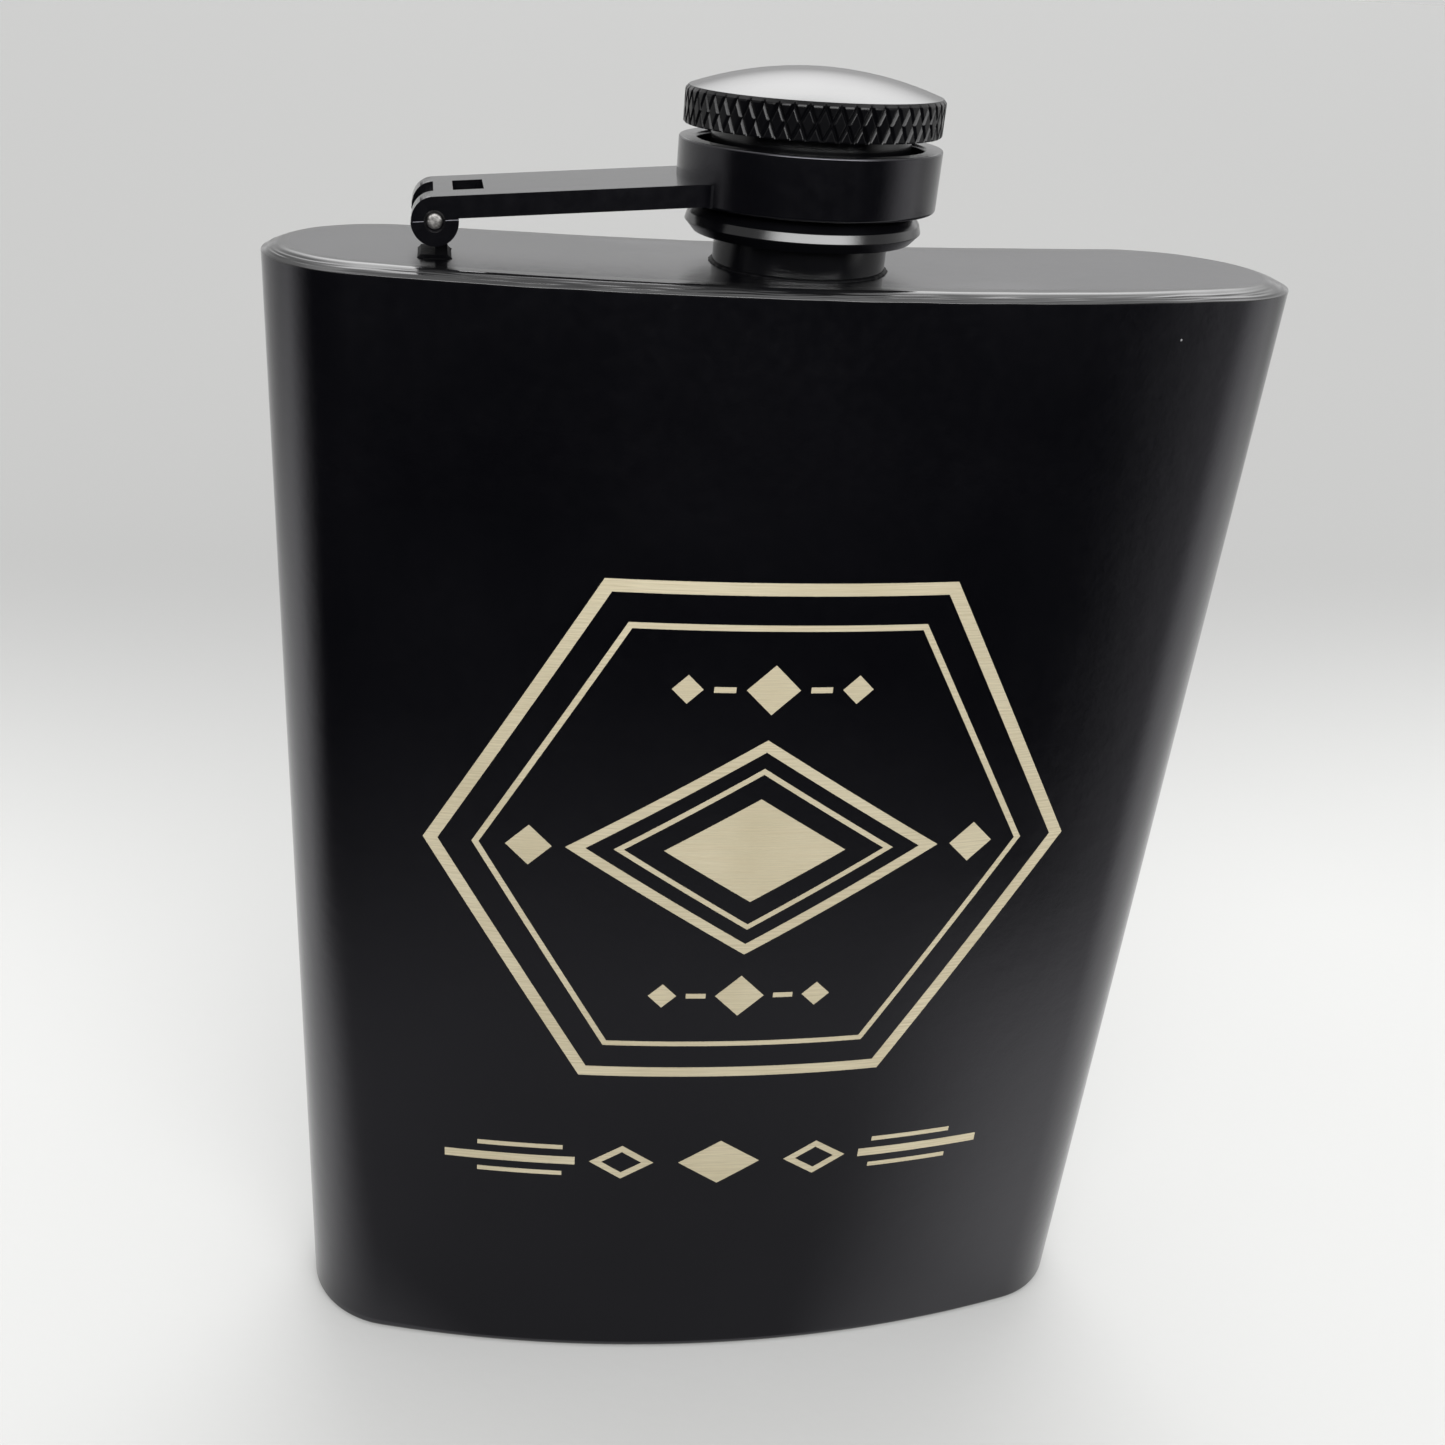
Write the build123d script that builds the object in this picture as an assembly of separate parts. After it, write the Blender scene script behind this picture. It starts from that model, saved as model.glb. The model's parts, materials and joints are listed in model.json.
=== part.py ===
from build123d import *
import math
import os

# A stainless hip flask of about 8 fl oz: a kidney-shaped vessel that follows the hip, and a
# screw cap held captive in the collar of a swing arm that is hinged on the shoulder.
# Millimetres. +Z is up, +X runs from the hinge towards the cap, and -Y is the convex front.
# The origin is on the base, under the middle of the flask's outer box.

# Vessel
WIDTH = 95.0
DEPTH = 23.2            # front to back, on the middle plane
HEIGHT = 124.95         # base to shoulder
FRONT_RADIUS = 155.0    # convex face
BACK_RADIUS = 165.0     # hollow face
WALL = 0.5              # rolled sheet
PLATE = 0.8             # shoulder and base sheets, and the height of the weld edges
EDGE_ROUND = 0.7        # rounding of the dressed weld edges
SEAM_WIDTH = 1.6        # closing weld of the rolled sheet

# Filler neck; heights are above the shoulder
NECK_RADIUS = 7.65
NECK_BORE = 6.1
NECK_PLAIN = 2.45       # plain length under the thread
NECK_TOP = 9.85
MOUTH_CHAMFER = 0.3
THREAD_CORE = 6.75
THREAD_CREST = 7.2
THREAD_PITCH = 1.8
THREAD_TURNS = 3
NECK_BEAD = 0.4

# Cap; heights are above the shoulder
HEAD_RADIUS = 11.07
HEAD_BOTTOM = 11.35
HEAD_RIM = 14.32
DOME_RISE = 1.85
RIM_CHAMFER = 0.3
BOSS_DEPTH = 0.4        # plug under the head, pressed into the sleeve
SLEEVE_RADIUS = 8.62
SLEEVE_BORE = 8.1
SLEEVE_BOTTOM = 2.65
SLEEVE_THREAD_CREST = 7.8
SLEEVE_THREAD_START = 5.05
FLANGE_RADIUS = 10.4
FLANGE_HEIGHT = 3.5     # height of the flange's widest edge
FLANGE_LOWER_RADIUS = 9.6
CONE_TOP = 5.67         # where the flange's upper cone meets the sleeve
FLANGE_ROUND = 0.3
GASKET_RADIUS = 7.9
GASKET_HOLE = 5.2
GASKET_THICKNESS = 1.0
REST_GAP = 0.05         # between the washer and the faces it is squeezed by

# Collar; heights are above the shoulder
COLLAR_RADIUS = 11.35
COLLAR_BORE = 9.75
COLLAR_BOTTOM = 5.35
COLLAR_TOP = 10.3
COLLAR_CHAMFER = 0.35
GUIDE_BORE = 8.72       # inner lip that the sleeve turns in
GUIDE_BOTTOM = 6.0
GUIDE_TOP = 7.55

# Swing arm, measured from the pivot in the arm's own sloping frame
PIVOT_X = -32.25
PIVOT_HEIGHT = 3.55     # above the shoulder
ARM_RISE = 4.4          # degrees that the arm climbs towards the collar
ARM_HALF_WIDTH = 5.9
ARM_TOP = 1.95          # the ears' radius too, so that the top runs into them
ARM_BOTTOM = 0.15
ARM_FLARE = 1.6         # fillet in plan where the arm meets the collar
SLOT_HALF_WIDTH = 2.7   # room for the lug between the ears
SLOT_ROOF = 1.3
BRIDGE_START = 0.05
BRIDGE_END = 1.7
WINDOW_END = 4.3
POCKET_START = 6.0
POCKET_END = 18.5
POCKET_HALF_WIDTH = 4.3
POCKET_ROOF = 1.1

# Hinge
PIN_RADIUS = 0.65
PIN_CLEARANCE = 0.05
PIN_RECESS = 0.05
PIN_CHAMFER = 0.25
LUG_RADIUS = 1.2
LUG_HALF_WIDTH = 2.5
STEM_THICKNESS = 1.1    # all on the free side of the pin, clear of the arm's bridge when open
FOOT_LENGTH = 2.4
FOOT_WIDTH = 5.0
FOOT_HEIGHT = 0.3
FOOT_BEAD = 0.3


def round_end():
    """Radius and centre of the round end: tangent to both faces and just as wide as WIDTH."""
    front_y = FRONT_RADIUS - DEPTH / 2
    slope = (FRONT_RADIUS + BACK_RADIUS) / (2 * (DEPTH + BACK_RADIUS - FRONT_RADIUS))
    lead = slope * DEPTH - front_y
    a = 4 * slope**2
    b = 2 * FRONT_RADIUS - WIDTH - 4 * slope * lead
    c = lead**2 + WIDTH**2 / 4 - FRONT_RADIUS**2
    radius = (-b + math.sqrt(b**2 - 4 * a * c)) / (2 * a)
    return radius, WIDTH / 2 - radius, slope * (DEPTH - 2 * radius)


END_RADIUS, END_X, END_Y = round_end()
# The section is drawn about its middle plane. The outer box runs from the middle of the front
# to the back of the round ends, and the middle plane is moved so that this box is centred.
MIDDLE_Y = (DEPTH / 2 - END_Y - END_RADIUS) / 2
SHOULDER = Pos(0, MIDDLE_Y, HEIGHT)
PIVOT = Pos(PIVOT_X, MIDDLE_Y, HEIGHT + PIVOT_HEIGHT)


def section(inset=0.0):
    """The kidney outline, drawn in by an inset: four arcs, each tangent to the next."""
    end = Vector(END_X, END_Y + MIDDLE_Y)
    front_centre = Vector(0, FRONT_RADIUS - DEPTH / 2 + MIDDLE_Y)
    back_centre = Vector(0, BACK_RADIUS + DEPTH / 2 + MIDDLE_Y)
    front_radius = FRONT_RADIUS - inset
    back_radius = BACK_RADIUS + inset
    front = front_centre + (end - front_centre).normalized() * front_radius
    back = back_centre + (end - back_centre).normalized() * back_radius
    tip = end + Vector(END_RADIUS - inset, 0)
    front_middle = front_centre - Vector(0, front_radius)
    back_middle = back_centre - Vector(0, back_radius)
    outline = [
        ThreePointArc(mirrored(front), front_middle, front),
        ThreePointArc(front, tip, back),
        ThreePointArc(back, back_middle, mirrored(back)),
        ThreePointArc(mirrored(back), mirrored(tip), mirrored(front)),
    ]
    return make_face(outline)


def mirrored(point):
    return Vector(-point.X, point.Y)


def slab(outline, bottom, top):
    return Pos(0, 0, bottom) * extrude(outline, amount=top - bottom)


def turned(*profile):
    """A solid of revolution on the cap's axis, from radius and height above the shoulder."""
    face = make_face(Polyline(*profile, close=True))
    return SHOULDER * revolve(Plane.XZ * face, axis=Axis.Z)


def ring(outer, inner, bottom, top):
    return turned((inner, bottom), (outer, bottom), (outer, top), (inner, top))


def ridge(core, crest, bottom):
    """One thread ridge of triangular section, outwards or inwards from its core radius."""
    return turned(
        (core, bottom), (crest, bottom + THREAD_PITCH / 2), (core, bottom + THREAD_PITCH)
    )


def circles_of(part, radius):
    circles = part.edges().filter_by(GeomType.CIRCLE)
    return circles.filter_by(lambda edge: abs(edge.radius - radius) < 1e-4)


def in_arm_frame(shape):
    """From the arm's own frame, with the pivot as origin and X along the arm, into place."""
    return PIVOT * Rot(0, -ARM_RISE, 0) * shape


def block(x_low, x_high, half_width, z_low, z_high):
    size = Box(x_high - x_low, 2 * half_width, z_high - z_low)
    return Pos((x_low + x_high) / 2, 0, (z_low + z_high) / 2) * size


def cross_cylinder(radius, half_width):
    """A cylinder along Y, centred on the origin."""
    return Rot(90, 0, 0) * Cylinder(radius, 2 * half_width)


def rolled_wall():
    outline = section() - section(WALL)
    return slab(outline, PLATE, HEIGHT - PLATE)


def seam_gap():
    middle = DEPTH / 2 + MIDDLE_Y
    return Pos(0, middle, HEIGHT / 2) * Box(SEAM_WIDTH, 4 * WALL, HEIGHT)


def make_body_tube():
    return rolled_wall() - seam_gap()


def make_back_seam_weld():
    return rolled_wall() & seam_gap()


def weld_edge():
    """The filler metal round a plate's edge, dressed round on the outside; +Z is outwards."""
    bead = slab(section(), 0, PLATE)
    bead = fillet(bead.edges().group_by(Axis.Z)[-1], EDGE_ROUND)
    return bead - slab(section(PLATE), -PLATE, 2 * PLATE)


def make_shoulder_weld():
    return Pos(0, 0, HEIGHT - PLATE) * weld_edge()


def make_base_weld():
    return Pos(0, 0, PLATE) * mirror(weld_edge(), Plane.XY)


def make_shoulder_plate():
    sheet = slab(section(PLATE), HEIGHT - PLATE, HEIGHT)
    return sheet - SHOULDER * Cylinder(NECK_RADIUS, 4 * PLATE)


def make_base_plate():
    return slab(section(PLATE), 0, PLATE)


def make_filler_neck():
    neck = turned(
        (NECK_BORE, -PLATE),
        (NECK_RADIUS, -PLATE),
        (NECK_RADIUS, NECK_PLAIN),
        (THREAD_CORE, NECK_PLAIN + NECK_RADIUS - THREAD_CORE),
        (THREAD_CORE, NECK_TOP - MOUTH_CHAMFER),
        (THREAD_CORE - MOUTH_CHAMFER, NECK_TOP),
        (NECK_BORE, NECK_TOP),
    )
    first = NECK_TOP - 2 * MOUTH_CHAMFER - THREAD_TURNS * THREAD_PITCH
    for turn in range(THREAD_TURNS):
        neck += ridge(THREAD_CORE, THREAD_CREST, first + turn * THREAD_PITCH)
    return neck


def make_neck_weld():
    return turned((NECK_RADIUS, 0), (NECK_RADIUS + NECK_BEAD, 0), (NECK_RADIUS, NECK_BEAD))


def make_hinge_lug():
    barrel = cross_cylinder(LUG_RADIUS, LUG_HALF_WIDTH)
    stem = block(0, STEM_THICKNESS, LUG_HALF_WIDTH, -PIVOT_HEIGHT, 0)
    foot = block(
        -FOOT_LENGTH / 2, FOOT_LENGTH / 2, FOOT_WIDTH / 2, -PIVOT_HEIGHT, FOOT_HEIGHT - PIVOT_HEIGHT
    )
    hole = cross_cylinder(PIN_RADIUS + PIN_CLEARANCE, FOOT_WIDTH)
    return PIVOT * (barrel + stem + foot - hole)


def make_lug_weld():
    wide = Rectangle(FOOT_LENGTH + 2 * FOOT_BEAD, FOOT_WIDTH + 2 * FOOT_BEAD)
    bead = extrude(wide, amount=FOOT_BEAD, taper=45)
    bead -= Box(FOOT_LENGTH, FOOT_WIDTH, 4 * FOOT_BEAD)
    return Pos(PIVOT_X, MIDDLE_Y, HEIGHT) * bead


def arm_plan():
    """The arm and the collar seen from above the shoulder, with the flare between them."""
    start = PIVOT_X - ARM_TOP - 1
    strip = Pos(start / 2, 0) * Rectangle(-start, 2 * ARM_HALF_WIDTH)
    plan = strip + Circle(COLLAR_RADIUS)
    corners = plan.vertices().filter_by(
        lambda v: start + 1 < v.X < 0 and abs(abs(v.Y) - ARM_HALF_WIDTH) < 1e-3
    )
    return fillet(corners, ARM_FLARE)


def collar_ring():
    bore = COLLAR_BORE + COLLAR_CHAMFER
    collar = turned(
        (COLLAR_BORE, COLLAR_BOTTOM),
        (COLLAR_RADIUS, COLLAR_BOTTOM),
        (COLLAR_RADIUS, COLLAR_TOP),
        (bore, COLLAR_TOP),
        (COLLAR_BORE, COLLAR_TOP - COLLAR_CHAMFER),
    )
    return collar + ring(COLLAR_BORE, GUIDE_BORE, GUIDE_BOTTOM, GUIDE_TOP)


def arm_cuts():
    """What is cut out of the arm, in its own frame: slot, notch, window and pocket."""
    end = -2 * ARM_TOP
    top = 2 * ARM_TOP
    slot = block(end, WINDOW_END, SLOT_HALF_WIDTH, -top, SLOT_ROOF)
    notch = block(end, BRIDGE_START, SLOT_HALF_WIDTH, 0, top)
    window = block(BRIDGE_END, WINDOW_END, SLOT_HALF_WIDTH, 0, top)
    pocket = block(POCKET_START, POCKET_END, POCKET_HALF_WIDTH, -top, POCKET_ROOF)
    return slot + notch + window + pocket


def make_swing_arm():
    reach = -PIVOT_X
    profile = block(0, reach, COLLAR_RADIUS, ARM_BOTTOM, ARM_TOP)
    profile += cross_cylinder(ARM_TOP, COLLAR_RADIUS)
    arm = in_arm_frame(profile) & SHOULDER * extrude(arm_plan(), amount=COLLAR_TOP)
    arm -= in_arm_frame(arm_cuts())
    arm -= turned((0, 0), (COLLAR_BORE + 0.5, 0), (COLLAR_BORE + 0.5, NECK_TOP), (0, NECK_TOP))
    arm += collar_ring()
    for side in (-1, 1):
        sink = Cone(PIN_RADIUS, PIN_RADIUS + PIN_CHAMFER, PIN_CHAMFER)
        face = Pos(0, side * (ARM_HALF_WIDTH - PIN_CHAMFER / 2), 0) * Rot(-90 * side, 0, 0)
        arm -= PIVOT * face * sink
    return arm - PIVOT * cross_cylinder(PIN_RADIUS, COLLAR_RADIUS)


def make_hinge_pin():
    return PIVOT * cross_cylinder(PIN_RADIUS, ARM_HALF_WIDTH - PIN_RECESS)


def make_cap_gasket():
    top = HEAD_BOTTOM - BOSS_DEPTH - REST_GAP
    return ring(GASKET_RADIUS, GASKET_HOLE, top - GASKET_THICKNESS, top)


def make_cap_sleeve():
    sleeve = turned(
        (SLEEVE_BORE, SLEEVE_BOTTOM),
        (FLANGE_LOWER_RADIUS, SLEEVE_BOTTOM),
        (FLANGE_RADIUS, FLANGE_HEIGHT),
        (SLEEVE_RADIUS, CONE_TOP),
        (SLEEVE_RADIUS, HEAD_BOTTOM),
        (SLEEVE_BORE, HEAD_BOTTOM),
    )
    sleeve = fillet(circles_of(sleeve, FLANGE_RADIUS), FLANGE_ROUND)
    for turn in range(THREAD_TURNS):
        bottom = SLEEVE_THREAD_START + turn * THREAD_PITCH
        sleeve += ridge(SLEEVE_BORE, SLEEVE_THREAD_CREST, bottom)
    return sleeve


def make_cap_head():
    boss = turned(
        (0, HEAD_BOTTOM - BOSS_DEPTH),
        (SLEEVE_BORE, HEAD_BOTTOM - BOSS_DEPTH),
        (SLEEVE_BORE, HEAD_BOTTOM),
        (0, HEAD_BOTTOM),
    )
    disc = turned(
        (0, HEAD_BOTTOM),
        (HEAD_RADIUS - RIM_CHAMFER, HEAD_BOTTOM),
        (HEAD_RADIUS, HEAD_BOTTOM + RIM_CHAMFER),
        (HEAD_RADIUS, HEAD_RIM - RIM_CHAMFER),
        (HEAD_RADIUS - RIM_CHAMFER, HEAD_RIM),
        (0, HEAD_RIM),
    )
    dome_radius = HEAD_RADIUS - RIM_CHAMFER
    ball_radius = (dome_radius**2 + DOME_RISE**2) / (2 * DOME_RISE)
    ball = Pos(0, 0, HEAD_RIM + DOME_RISE - ball_radius) * Sphere(ball_radius)
    above_rim = Pos(0, 0, HEAD_RIM + DOME_RISE) * Box(
        4 * HEAD_RADIUS, 4 * HEAD_RADIUS, 2 * DOME_RISE
    )
    return boss + disc + SHOULDER * (ball & above_rim)


MAKERS = {
    "body_tube": make_body_tube,
    "back_seam_weld": make_back_seam_weld,
    "shoulder_plate": make_shoulder_plate,
    "shoulder_weld": make_shoulder_weld,
    "base_plate": make_base_plate,
    "base_weld": make_base_weld,
    "filler_neck": make_filler_neck,
    "neck_weld": make_neck_weld,
    "hinge_lug": make_hinge_lug,
    "lug_weld": make_lug_weld,
    "swing_arm": make_swing_arm,
    "hinge_pin": make_hinge_pin,
    "cap_gasket": make_cap_gasket,
    "cap_sleeve": make_cap_sleeve,
    "cap_head": make_cap_head,
}

os.makedirs("parts", exist_ok=True)
for node, make in MAKERS.items():
    shape = make()
    shape.label = node
    export_step(shape, f"parts/{node}.step")
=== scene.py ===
import json
import math

import bmesh
import bpy
import numpy as np
from mathutils import Matrix, Vector, noise


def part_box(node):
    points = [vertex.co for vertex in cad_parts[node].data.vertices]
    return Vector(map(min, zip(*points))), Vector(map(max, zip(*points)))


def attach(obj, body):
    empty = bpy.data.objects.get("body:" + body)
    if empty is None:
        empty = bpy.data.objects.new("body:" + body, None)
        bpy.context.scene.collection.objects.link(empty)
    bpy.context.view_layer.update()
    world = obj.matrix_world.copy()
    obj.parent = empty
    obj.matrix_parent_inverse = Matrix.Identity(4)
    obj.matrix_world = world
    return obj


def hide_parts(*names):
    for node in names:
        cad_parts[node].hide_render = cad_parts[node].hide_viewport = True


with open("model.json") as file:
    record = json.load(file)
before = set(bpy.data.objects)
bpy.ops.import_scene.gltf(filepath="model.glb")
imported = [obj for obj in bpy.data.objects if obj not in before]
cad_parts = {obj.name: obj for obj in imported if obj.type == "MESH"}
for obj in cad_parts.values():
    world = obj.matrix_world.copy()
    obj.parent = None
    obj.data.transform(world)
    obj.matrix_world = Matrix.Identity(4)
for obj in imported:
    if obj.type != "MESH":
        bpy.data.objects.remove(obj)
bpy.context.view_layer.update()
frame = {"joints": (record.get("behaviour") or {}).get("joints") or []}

# A stainless hip flask with a satin black coat, standing on a pale floor. Lengths are in
# millimetres until add_mesh() or inlay() turns them into metres. +Z is up, +X runs from the hinge
# towards the cap, and -Y is the convex front.
MM = 0.001
TAU = 2 * math.pi

# ------------ places, from the CAD model


def box_mm(node):
    low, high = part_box(node)
    return low / MM, high / MM


AXIS = sum(box_mm("cap_head"), Vector()) / 2       # the cap and the neck turn about this x and y
SHOULDER = box_mm("shoulder_plate")[1].z
PIVOT = Vector(next(j for j in frame["joints"] if j["name"] == "arm_hinge")["pos_m"]) / MM

# Vessel section: two faces and two round ends, four arcs that are tangent to each other
DEPTH = 23.2
FRONT_RADIUS = 155.0
BACK_RADIUS = 165.0
WALL = 0.5
PLATE = 0.8
SEAM_WIDTH = 1.6
SEAM_CROWN = 0.035

# Dressed weld edge of the shoulder: its width on top, on the faces and round the two ends
EDGE_WIDTH = 0.85
EDGE_HINGE_END = 1.45
EDGE_CAP_END = 2.0
EDGE_DROP = 0.7
EDGE_REACH = 2.4        # where the edge piece meets the flat sheet
EDGE_ARRIS = 0.05       # rounding where the facets meet the wall
EDGE_TURN = 0.36        # length of the turn from the facets into the sheet
BASE_EDGE_WIDTH = 0.9

# Neck; heights are above the shoulder
NECK_RADIUS = 7.65
NECK_BORE = 6.1
NECK_PLAIN = 2.45
NECK_TOP = 9.85
THREAD_CORE = 6.75
THREAD_CREST = 7.2
THREAD_PITCH = 1.8
THREAD_TURNS = 3
NECK_BEAD = 0.4

# Cap; heights are above the shoulder
HEAD_RADIUS = 11.07
HEAD_BOTTOM = 11.35
HEAD_RIM = 14.32
DOME_RISE = 1.85
HEAD_CHAMFER = 0.3
HEAD_EASE = 0.1         # the smaller chamfer under the head, which the grooves break through
BOSS_DEPTH = 0.4
SLEEVE_RADIUS = 8.62
SLEEVE_BORE = 8.1
SLEEVE_BOTTOM = 2.65
SLEEVE_THREAD_CREST = 7.8
SLEEVE_THREAD_START = 5.05
FLANGE_RADIUS = 10.4
FLANGE_HEIGHT = 3.5
FLANGE_LOWER_RADIUS = 9.6
FLANGE_SHOULDER = 9.72           # clear of the collar when the cap is lifted by its play
FLANGE_SHOULDER_HEIGHT = 4.82
CONE_TOP = 5.67
GASKET_RADIUS = 7.9
GASKET_HOLE = 5.2
GASKET_THICKNESS = 1.0
REST_GAP = 0.05

# Diamond knurl round the cap: two families of grooves with flat lands between them
KNURL_STARTS = 55
KNURL_LEAN = math.radians(25)
KNURL_DEPTH = 0.2
KNURL_HALF_WIDTH = 0.19

# Collar; heights are above the shoulder
COLLAR_RADIUS = 11.35
COLLAR_BORE = 9.75
COLLAR_BOTTOM = 5.35
COLLAR_TOP = 10.3
GUIDE_BORE = 8.72
GUIDE_BOTTOM = 6.0
GUIDE_TOP = 7.55

# Swing arm, in its own sloping frame with the pivot as origin
ARM_RISE = math.radians(4.4)
ARM_HALF_WIDTH = 5.9
ARM_TOP = 1.95
ARM_BOTTOM = 0.15
ARM_FLARE = 1.6
SLOT_HALF_WIDTH = 2.7
SLOT_ROOF = 1.3
BRIDGE_START = 0.05
BRIDGE_END = 1.7
WINDOW_END = 4.3
POCKET_START = 6.0
POCKET_END = 18.5
POCKET_HALF_WIDTH = 4.3
POCKET_ROOF = 1.1

# Hinge
PIN_RADIUS = 0.65
PIN_RECESS = 0.05
PIN_CHAMFER = 0.25
FLASH_PROUD = 0.052       # the line that the casting's two halves leave across the ears
FLASH_HALF_HEIGHT = 0.09
LUG_RADIUS = 1.2
LUG_HALF_WIDTH = 2.5
STEM_THICKNESS = 1.1
FOOT_LENGTH = 2.4
FOOT_WIDTH = 5.0
FOOT_HEIGHT = 0.3
FOOT_BEAD = 0.3
FOOT_CORNER = 0.3

# Engraved mark: heights are from the floor
MARK_CENTRE = (-0.6, 70.5)
MARK_LINES = ((33.0, 31.55), (28.2, 27.5))              # outer and inner radius of each hexagon
MARK_LOZENGES = ((19.0, 12.5, 1.1), (14.2, 9.4, 0.55))  # half width, half height, stroke
MARK_ROW = 17.8         # from the centre to each row of small lozenges
DIVIDER_CENTRE = (-0.8, 29.6)
INLAY_PROUD = 0.02
INLAY_SUNK = 0.12
INLAY_STEP = 0.8        # between cuts that let the tiles follow the face

# Camera, fitted to the vessel's outline in the photograph
CAMERA_PLACE = Vector((-32.8, AXIS.y - 139.73, 149.96))
CAMERA_AZIMUTH = math.radians(7.219)
CAMERA_DEPRESSION = math.radians(28.464)
CAMERA_ROLL = math.radians(3.193)

# ------------ mesh helpers


def shade(mesh, sharp_angle):
    """Smooth shading, with edges sharper than the angle kept crisp."""
    mesh.shade_smooth()
    mesh.set_sharp_from_angle(angle=math.radians(sharp_angle))


def add_mesh(name, points, faces, material, sharp_angle=35):
    """An object from points in millimetres."""
    mesh = bpy.data.meshes.new(name)
    mesh.from_pydata([Vector(p) * MM for p in points], [], faces)
    mesh.validate()
    return add_object(name, mesh, material, sharp_angle)


def add_object(name, mesh, material, sharp_angle=35):
    mesh.materials.clear()
    mesh.materials.append(material)
    shade(mesh, sharp_angle)
    piece = bpy.data.objects.new(name, mesh)
    bpy.context.scene.collection.objects.link(piece)
    return piece


def skin(rings, count, wrap):
    """Faces between rings of points, each closed on itself. The last joins the first if wrap."""
    faces = []
    for i in range(rings if wrap else rings - 1):
        here, there = i * count, (i + 1) % rings * count
        for j in range(count):
            k = (j + 1) % count
            faces.append((here + j, here + k, there + k, there + j))
    return faces


def grid_faces(columns, rows):
    """Faces of an open grid whose points come row by row."""
    corners = [j * (columns + 1) + i for j in range(rows) for i in range(columns)]
    return [(c, c + 1, c + columns + 2, c + columns + 1) for c in corners]


def loft(name, rings, material, wrap=True, sharp_angle=35):
    """Skins rings of equal length, each counter-clockwise seen from above. The last ring joins
    the first if wrap, as on a ring-shaped solid, and otherwise both ends are closed to a point."""
    count = len(rings[0])
    points = [tuple(p) for ring in rings for p in ring]
    faces = skin(len(rings), count, wrap)
    if not wrap:
        last = (len(rings) - 1) * count
        for ring, start, flip in ((rings[0], 0, True), (rings[-1], last, False)):
            middle = len(points)
            points.append(tuple(np.mean(ring, axis=0)))
            for j in range(count):
                k = (j + 1) % count
                faces.append((middle, start + (k if flip else j), start + (j if flip else k)))
    return add_mesh(name, points, faces, material, sharp_angle)


def circle(radius, z, count):
    """A ring about the cap's axis; the radius may be a function of the angles."""
    angles = TAU * np.arange(count) / count
    radius = radius(angles) if callable(radius) else radius
    x, y = AXIS.x + radius * np.cos(angles), AXIS.y + radius * np.sin(angles)
    return np.stack([x, y, np.full(count, SHOULDER + z)], 1)


def rounded(*corners):
    """A closed profile of (radius, height, rounding) corners, each rounded by an arc, and the
    straight stretches held flat by a point just outside each arc."""
    profile, steps, hold = [], 4, 0.12
    corners = [np.array(c, float) for c in corners]
    for i, corner in enumerate(corners):
        point, size = corner[:2], corner[2]
        if size == 0:
            profile.append(tuple(point))
            continue
        into = corners[i - 1][:2] - point
        out = corners[(i + 1) % len(corners)][:2] - point
        into, out = into / np.linalg.norm(into), out / np.linalg.norm(out)
        half = math.acos(np.clip(into @ out, -1, 1)) / 2
        cut = size / math.tan(half)
        middle = (into + out) / np.linalg.norm(into + out)
        centre = point + middle * (size / math.sin(half))
        start, end = point + into * cut - centre, point + out * cut - centre
        profile.append(tuple(centre + start + into * hold * size))
        sweep = math.pi - 2 * half
        for step in range(steps + 1):
            blend = step / steps
            ray = start * math.sin((1 - blend) * sweep) + end * math.sin(blend * sweep)
            profile.append(tuple(centre + ray / math.sin(sweep)))
        profile.append(tuple(centre + end + out * hold * size))
    return profile


def lathe(name, profile, material, count=144, radius_at=lambda radius, height, angles: radius):
    """A solid turned about the cap's axis. The profile runs up the outside and down the inside.
    radius_at may vary the radius round the axis."""
    rings = [
        circle(lambda a, r=radius, h=height: radius_at(r, h, a), height, count)
        for radius, height in profile
    ]
    return loft(name, rings, material)


def evaluated(piece):
    """Makes the piece's modifiers final."""
    graph = bpy.context.evaluated_depsgraph_get()
    mesh = bpy.data.meshes.new_from_object(piece.evaluated_get(graph))
    piece.modifiers.clear()
    piece.data = mesh


def combine(target, tool, operation):
    """Boolean of two closed pieces; the tool goes away."""
    change = target.modifiers.new(operation.title(), "BOOLEAN")
    change.object, change.operation, change.solver = tool, operation, "EXACT"
    bpy.context.view_layer.update()
    evaluated(target)
    bpy.data.objects.remove(tool)
    return target


def bevelled(piece, width):
    """Rounds the edges of a cast piece that are sharper than 30 degrees."""
    edge = piece.modifiers.new("Edges", "BEVEL")
    edge.width, edge.segments = width * MM, 3
    edge.limit_method, edge.angle_limit = "ANGLE", math.radians(30)
    edge.use_clamp_overlap = True
    bpy.context.view_layer.update()
    evaluated(piece)


def prism(name, outline, low, high, place, material):
    """The outline, counter-clockwise in a plane, made solid between two heights. place(u, v,
    height) says where a point goes."""
    count = len(outline)
    points = [place(u, v, low) for u, v in outline] + [place(u, v, high) for u, v in outline]
    faces = [tuple(range(count - 1, -1, -1)), tuple(range(count, 2 * count))]
    faces += [(j, (j + 1) % count, count + (j + 1) % count, count + j) for j in range(count)]
    return add_mesh(name, points, faces, material)


def rectangle(u_low, u_high, v_low, v_high):
    return [(u_low, v_low), (u_high, v_low), (u_high, v_high), (u_low, v_high)]


def arc_points(centre, radius, start, end, steps):
    """Points on an arc, with both ends, angles in radians."""
    return [
        (centre[0] + radius * math.cos(a), centre[1] + radius * math.sin(a))
        for a in np.linspace(start, end, steps + 1)
    ]


def weighted(piece):
    """Normals that keep flat faces flat between their rounded edges."""
    normals = piece.modifiers.new("Normals", "WEIGHTED_NORMAL")
    normals.keep_sharp = True
    return piece


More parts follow.
